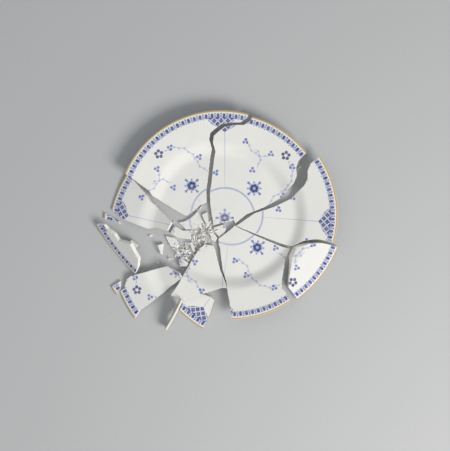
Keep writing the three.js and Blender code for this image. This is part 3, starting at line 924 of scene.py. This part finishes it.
def fracture_cutter(name, outline, bare, textures):
    """A prism with torn walls over an outline on the whole plate.

    The unevenness depends only on the place, so two neighbours' faces still fit together.
    """
    curve = bpy.data.curves.new(name, "CURVE")
    curve.dimensions = "2D"
    curve.fill_mode = "NONE"
    spline = curve.splines.new("POLY")
    spline.points.add(len(outline) - 1)
    for point, (x, y) in zip(spline.points, outline):
        point.co = (x * MM, y * MM, 0, 1)
    spline.use_cyclic_u = True
    cutter = bpy.data.objects.new(name, curve)
    bpy.context.scene.collection.objects.link(cutter)
    pick(cutter)
    bpy.ops.object.convert(target="MESH")
    cutter = bpy.context.object

    bpy.ops.object.mode_set(mode="EDIT")
    bpy.ops.mesh.select_all(action="SELECT")
    bpy.ops.transform.translate(value=(0, 0, CUTTER_BOTTOM * MM))
    bpy.ops.mesh.edge_face_add()
    for _ in range(CUTTER_LAYERS):
        bpy.ops.mesh.extrude_region_move(
            TRANSFORM_OT_translate={"value": (0, 0, LAYER_STEP * MM)})
    face_outwards()
    for texture_name, _, strength in TEARS:
        for direction in "XY":
            shape_by(cutter, "DISPLACE", texture=textures[texture_name + direction],
                     texture_coords="LOCAL", direction=direction, strength=strength * MM,
                     mid_level=0.5)
    cutter.data.materials.append(bare)
    return cutter


def eating_side(radius):
    """Height of the plate's upper surface at a radius."""
    above = [(x, z) for x, z in plate_profile() if z >= WELL_TOP - 0.01]
    above = above[-UPPER_POINTS:]
    for (outer, high), (inner, low) in zip(above, above[1:]):
        if inner <= radius <= outer:
            return low + (high - low) * (radius - inner) / (outer - inner)
    return WELL_TOP if radius < WELL_RADIUS else PLATE_HEIGHT


def empty_piece(name):
    """An object with no faces yet, open in edit mode for primitives to be added to it."""
    deselect()
    bpy.ops.mesh.primitive_plane_add(size=MM)
    piece = bpy.context.object
    piece.name = name
    bpy.ops.object.mode_set(mode="EDIT")
    bpy.ops.mesh.delete(type="VERT")
    return piece


def nibble_cutter(name, outline, bare):
    """Small shells that spalled off along the glaze's edge, each cut as a shallow bowl."""
    cutter = empty_piece(name)
    left = random.uniform(*NIBBLE_SPACING)
    for before, (x, y) in zip(outline, outline[1:]):
        left -= math.dist(before, (x, y))
        if left > 0 or math.hypot(x, y) > RIM_RADIUS - 4:
            continue
        left = random.uniform(*NIBBLE_SPACING)
        reach = random.uniform(*NIBBLE_REACH) * random.uniform(*NIBBLE_SHRINK)
        place = Vector((x, y, eating_side(math.hypot(x, y)) + NIBBLE_RISE * reach)) * MM
        bpy.ops.mesh.primitive_ico_sphere_add(
            subdivisions=2, radius=reach * MM, location=place,
            rotation=(0, 0, random.uniform(0, math.tau)),
            scale=(random.uniform(*NIBBLE_LENGTH), random.uniform(*NIBBLE_WIDTH), NIBBLE_DEPTH))
    bpy.ops.object.mode_set(mode="OBJECT")
    cutter.data.materials.append(bare)
    return cutter


def copy_of(piece, name):
    twin = piece.copy()
    twin.data = piece.data.copy()
    twin.name = name
    bpy.context.scene.collection.objects.link(twin)
    return twin


def cut(piece, tool, operation):
    """Cuts a piece with a tool, whose material the new faces take."""
    shape_by(piece, "BOOLEAN", operation=operation, object=tool, solver="MANIFOLD",
             material_mode="TRANSFER")


def remember_place(piece):
    """Keeps each point's present place, which its material's patterns follow.

    A shard is still part of the whole plate then. Chips and fragments already lie on the floor.
    """
    places = [0.0] * (3 * len(piece.data.vertices))
    piece.data.vertices.foreach_get("co", places)
    attribute = piece.data.attributes.new(PLACE, "FLOAT_VECTOR", "POINT")
    attribute.data.foreach_set("vector", places)


def lay_down(piece, node, middle, at, turn, tip, toward):
    """Turns and leans a piece about its centre of mass, and lowers it as far as its solid goes."""
    compass = math.radians(toward)
    tilt_axis = Vector((-math.sin(compass), math.cos(compass), 0))
    lean = Matrix.Rotation(math.radians(tip), 4, tilt_axis)
    spin = Matrix.Rotation(math.radians(turn), 4, "Z")
    to_middle = Matrix.Translation(-Vector(middle) * MM)
    piece.data.transform(Matrix.Translation(floor_place(*at)) @ lean @ spin @ to_middle)
    lowest = min(vertex.co.z for vertex in piece.data.vertices)
    piece.data.transform(Matrix.Translation((0, 0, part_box(node)[0].z - lowest)))


def finish_shard(piece, node):
    """Smooths the turned surfaces, keeps the edges of the break crisp, and hands the piece over."""
    pick(piece)
    bpy.ops.object.shade_smooth_by_angle(angle=math.radians(SHARPEST_CURVE))
    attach(piece, "root")
    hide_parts(node)


def torn_chip(node, solid, glaze, bare, texture):
    """A small chip, made from its solid: glaze on top, torn body elsewhere."""
    chip = bpy.data.objects.new(node + "_piece", solid.data.copy())
    bpy.context.scene.collection.objects.link(chip)
    chip.data.materials.clear()
    chip.data.materials.append(bare)
    chip.data.materials.append(glaze)
    pick(chip)
    bpy.ops.object.mode_set(mode="EDIT")
    bpy.ops.mesh.select_all(action="SELECT")
    bpy.ops.mesh.remove_doubles(threshold=CHIP_WELD * MM)
    bpy.ops.mesh.subdivide(number_cuts=CHIP_CUTS)
    face_outwards()
    for face in chip.data.polygons:
        face.use_smooth = False
        face.material_index = 1 if face.normal.z > CHIP_LEVEL else 0
    shape_by(chip, "DISPLACE", texture=texture, texture_coords="LOCAL",
             strength=CHIP_TEAR_STRENGTH * MM, mid_level=CHIP_TEAR_MIDDLE)
    remember_place(chip)
    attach(chip, "root")
    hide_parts(node)


# ---- splinters and grit

BLOW_ON_FLOOR = (-23, -20)  # the same spot as BLOW_ON_PLATE, once the pieces had slid apart
SEARCH_HEIGHT = 60  # higher than everything on the floor
SPLINTER_WIDTH = (0.18, 0.34)  # as a part of its length
SPLINTER_FLATNESS = (0.4, 0.7)
SPLINTER_TIP = 0.05  # as a part of its width
HEAPS = [
    # centre, spread, how many splinters and their lengths
    ((-31, -31), 6, 34, (2, 6)),
    ((-51, -45), 8, 46, (1.8, 6.5)),
    ((-66, -38), 14, 14, (1.5, 4)),
]
STAR_SPLINTERS = 34
STAR_REACH = (3, 12)
STAR_LENGTH = (2.5, 8)
STAR_PITCH = (-0.5, 0.3)
STAR_SWERVE = (-0.5, 0.5)
HEAP_PITCH = (-0.6, 0.6)
GRIT = [
    # centre, spread, how many grains
    (BLOW_ON_FLOOR, 13, 150),
    ((-50, -42), 14, 200),
    ((-95, -25), 28, 70),
]
GRAIN_SIZE = (0.22, 0.75, 3)  # smallest, how much larger the largest is, how rare those are
FAR_SPECKS = 46
SPECK_SIZE = (0.25, 0.5, 2)
FAR_REACH = (138, 124)


def resting_height(x, y):
    """Height of whatever lies under a place on the floor, and of the floor where nothing does."""
    start = floor_place(x, y, SEARCH_HEIGHT)
    view = bpy.context.evaluated_depsgraph_get()
    found, place, *_ = bpy.context.scene.ray_cast(view, start, Vector((0, 0, -1)))
    return place.z / MM if found else 0


def scattered(middle_x, middle_y, spread):
    """A random place round a middle, not too far out and not on top of a steep piece."""
    while True:
        x = random.gauss(middle_x, spread)
        y = random.gauss(middle_y, spread * 0.8)
        if (abs(x - SPREAD_MIDDLE[0]) < FAR_REACH[0] and abs(y - SPREAD_MIDDLE[1]) < FAR_REACH[1]
                and resting_height(x, y) < PLATE_HEIGHT):
            return x, y


def splinter(x, y, length, heading, pitch):
    """A three-sided needle or wedge that tapers to its tip."""
    width = length * random.uniform(*SPLINTER_WIDTH)
    flatness = random.uniform(*SPLINTER_FLATNESS)
    rise = width * flatness + length / 2 * math.sin(abs(pitch))
    bpy.ops.mesh.primitive_cone_add(
        vertices=3, radius1=width * MM, radius2=SPLINTER_TIP * width * MM, depth=length * MM,
        location=floor_place(x, y, resting_height(x, y) + rise),
        rotation=(0, math.pi / 2 + pitch, heading), scale=(flatness, 1, 1))


def crumb_size(smallest, spread, rarity):
    """A random size; the larger, the rarer."""
    return smallest + spread * random.random() ** rarity


def grain(x, y, size):
    """An angular crumb."""
    bpy.ops.mesh.primitive_ico_sphere_add(
        subdivisions=1, radius=size * MM,
        location=floor_place(x, y, resting_height(x, y) + size),
        rotation=[random.uniform(0, math.tau) for _ in range(3)],
        scale=(random.uniform(0.5, 1), random.uniform(0.4, 0.9), random.uniform(0.4, 0.8)))


def hand_over_fragments(piece, bare):
    bpy.ops.object.mode_set(mode="OBJECT")
    piece.data.materials.append(bare)
    remember_place(piece)
    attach(piece, "root")


def scatter_fragments(bare):
    """Splinters point at the blow; shorter ones and grit heap up where the body was crushed."""
    splinters = empty_piece("splinters")
    for i in range(STAR_SPLINTERS):
        bearing = math.tau * (i + random.uniform(-0.3, 0.3)) / STAR_SPLINTERS
        distance = random.uniform(*STAR_REACH)
        x = BLOW_ON_FLOOR[0] + distance * math.cos(bearing)
        y = BLOW_ON_FLOOR[1] + distance * math.sin(bearing)
        splinter(x, y, random.uniform(*STAR_LENGTH),
                 bearing + math.pi + random.uniform(*STAR_SWERVE), random.uniform(*STAR_PITCH))
    for (x, y), spread, count, lengths in HEAPS:
        for _ in range(count):
            splinter(*scattered(x, y, spread), random.uniform(*lengths),
                     random.uniform(0, math.tau), random.uniform(*HEAP_PITCH))
    hand_over_fragments(splinters, bare)

    grit = empty_piece("grit")
    for (x, y), spread, count in GRIT:
        for _ in range(count):
            size = crumb_size(*GRAIN_SIZE)
            grain(*scattered(x, y, spread), size)
    for _ in range(FAR_SPECKS):
        x = random.uniform(-FAR_REACH[0], FAR_REACH[0]) + SPREAD_MIDDLE[0]
        y = random.uniform(-FAR_REACH[1], FAR_REACH[1]) + SPREAD_MIDDLE[1]
        if resting_height(x, y) < PLATE_HEIGHT:
            grain(x, y, crumb_size(*SPECK_SIZE))
    hand_over_fragments(grit, bare)


# ---- the stage


def camera_above():
    camera = bpy.data.objects.new("camera", bpy.data.cameras.new("camera"))
    camera.data.lens = LENS
    camera.data.sensor_width = SENSOR
    camera.data.sensor_fit = "HORIZONTAL"
    camera.data.clip_end = 20
    distance = VIEW_WIDTH * LENS / SENSOR
    camera.location = floor_place(*VIEW_CENTRE, VIEW_PLANE + distance)
    bpy.context.scene.collection.objects.link(camera)
    bpy.context.scene.camera = camera


def soft_light(name, place, size, power, colour, mirrored=True):
    """A square soft box that looks at the middle of the spread, and may show in the glaze."""
    light = bpy.data.lights.new(name, "AREA")
    light.size = size
    light.energy = power
    light.color = linear(colour)[:3]
    lamp = bpy.data.objects.new(name, light)
    lamp.location = place
    lamp.rotation_euler = Vector(place).to_track_quat("Z", "Y").to_euler()
    lamp.visible_glossy = mirrored
    bpy.context.scene.collection.objects.link(lamp)


def studio():
    deselect()
    bpy.ops.mesh.primitive_plane_add(size=FLOOR_SIZE * MM)
    floor = bpy.context.object
    floor.name = "floor"
    floor.data.materials.append(pale_floor())
    world = bpy.data.worlds.new("studio")
    world.use_nodes = True
    sky = world.node_tree.nodes["Background"]
    sky.inputs["Color"].default_value = linear(SKY_COLOUR)
    sky.inputs["Strength"].default_value = SKY_STRENGTH
    bpy.context.scene.world = world
    bpy.context.scene.view_settings.view_transform = "Standard"
    soft_light("key", *KEY_LIGHT, mirrored=False)
    soft_light("fill", *FILL_LIGHT)


# ---- making the model

random.seed(SEED)
camera_above()
studio()
glaze = painted_porcelain()
bare = broken_porcelain()
whole_plate = turned_plate(glaze)
flute(whole_plate)
tear_textures = {
    name + direction: tear_texture(name + direction, size)
    for name, size, _ in TEARS
    for direction in "XY"
}
for node, (lines, middle, at, turn, tip, toward) in SHARDS.items():
    shard = copy_of(whole_plate, node + "_piece")
    outline = crack_outline(lines)
    cutter = fracture_cutter(node + "_cutter", outline, bare, tear_textures)
    cut(shard, cutter, "INTERSECT")
    bpy.data.objects.remove(cutter)
    nibbles = nibble_cutter(node + "_nibbles", outline, bare)
    cut(shard, nibbles, "DIFFERENCE")
    bpy.data.objects.remove(nibbles)
    remember_place(shard)
    lay_down(shard, node, middle, at, turn, tip, toward)
    finish_shard(shard, node)
bpy.data.objects.remove(whole_plate)

chip_texture = tear_texture("chip_torn", CHIP_TEAR_SIZE)
for node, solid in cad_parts.items():
    if node.startswith("chip_") and node != "chip_rim_left":
        torn_chip(node, solid, glaze, bare, chip_texture)
scatter_fragments(bare)
